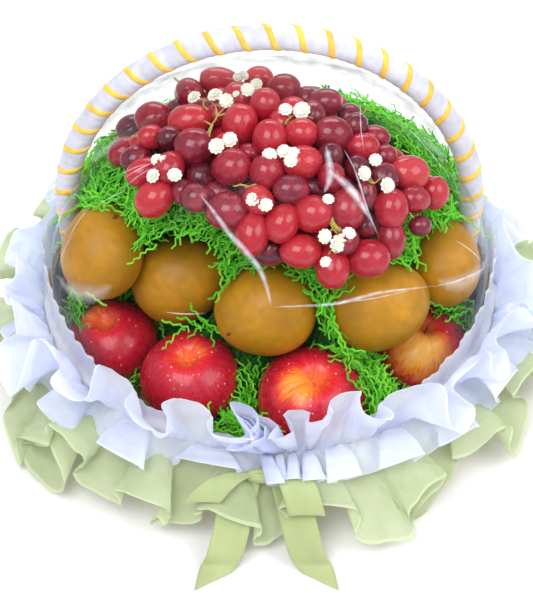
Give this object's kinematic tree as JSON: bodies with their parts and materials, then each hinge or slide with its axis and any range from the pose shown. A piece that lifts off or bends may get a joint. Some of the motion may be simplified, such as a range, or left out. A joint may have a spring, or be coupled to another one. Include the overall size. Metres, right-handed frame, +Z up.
{
  "type": "fruit gift basket",
  "caption": "Round handled basket of fresh apples, kiwis and red grapes on shredded paper, under a clear film dome, dressed with two cloth ruffles and a ribbon bow.",
  "frame": {"origin": "centre of the basket's flat base, on the surface it stands on", "axes": "+Z up, the bow and the apples face -Y, the handle's hoop lies in the XZ plane"},
  "size_m": [0.3984, 0.4318, 0.2755],
  "materials": {
    "tub": "matt",
    "white_ribbon": "matt",
    "gold_ribbon": "satin",
    "film": "clear gloss",
    "apple_skin": "waxy gloss",
    "kiwi_skin": "matt",
    "grape_skin": "satin",
    "green_paper": "matt",
    "white_cloth": "matt, sheer",
    "green_cloth": "matt, sheer",
    "green_satin": "satin"
  },
  "bodies": {
    "root": {"basket": "tub", "handle": "white_ribbon", "handle_winding": "gold_ribbon", "film": "film", "apple_1": "apple_skin", "apple_2": "apple_skin", "apple_3": "apple_skin", "apple_4": "apple_skin", "kiwi_1": "kiwi_skin", "kiwi_2": "kiwi_skin", "kiwi_3": "kiwi_skin", "kiwi_4": "kiwi_skin", "kiwi_5": "kiwi_skin", "grape_bunch": "grape_skin", "paper_shred": "green_paper", "white_ruffle": "white_cloth", "green_ruffle": "green_cloth", "bow": "green_satin"}
  },
  "joints": []
}
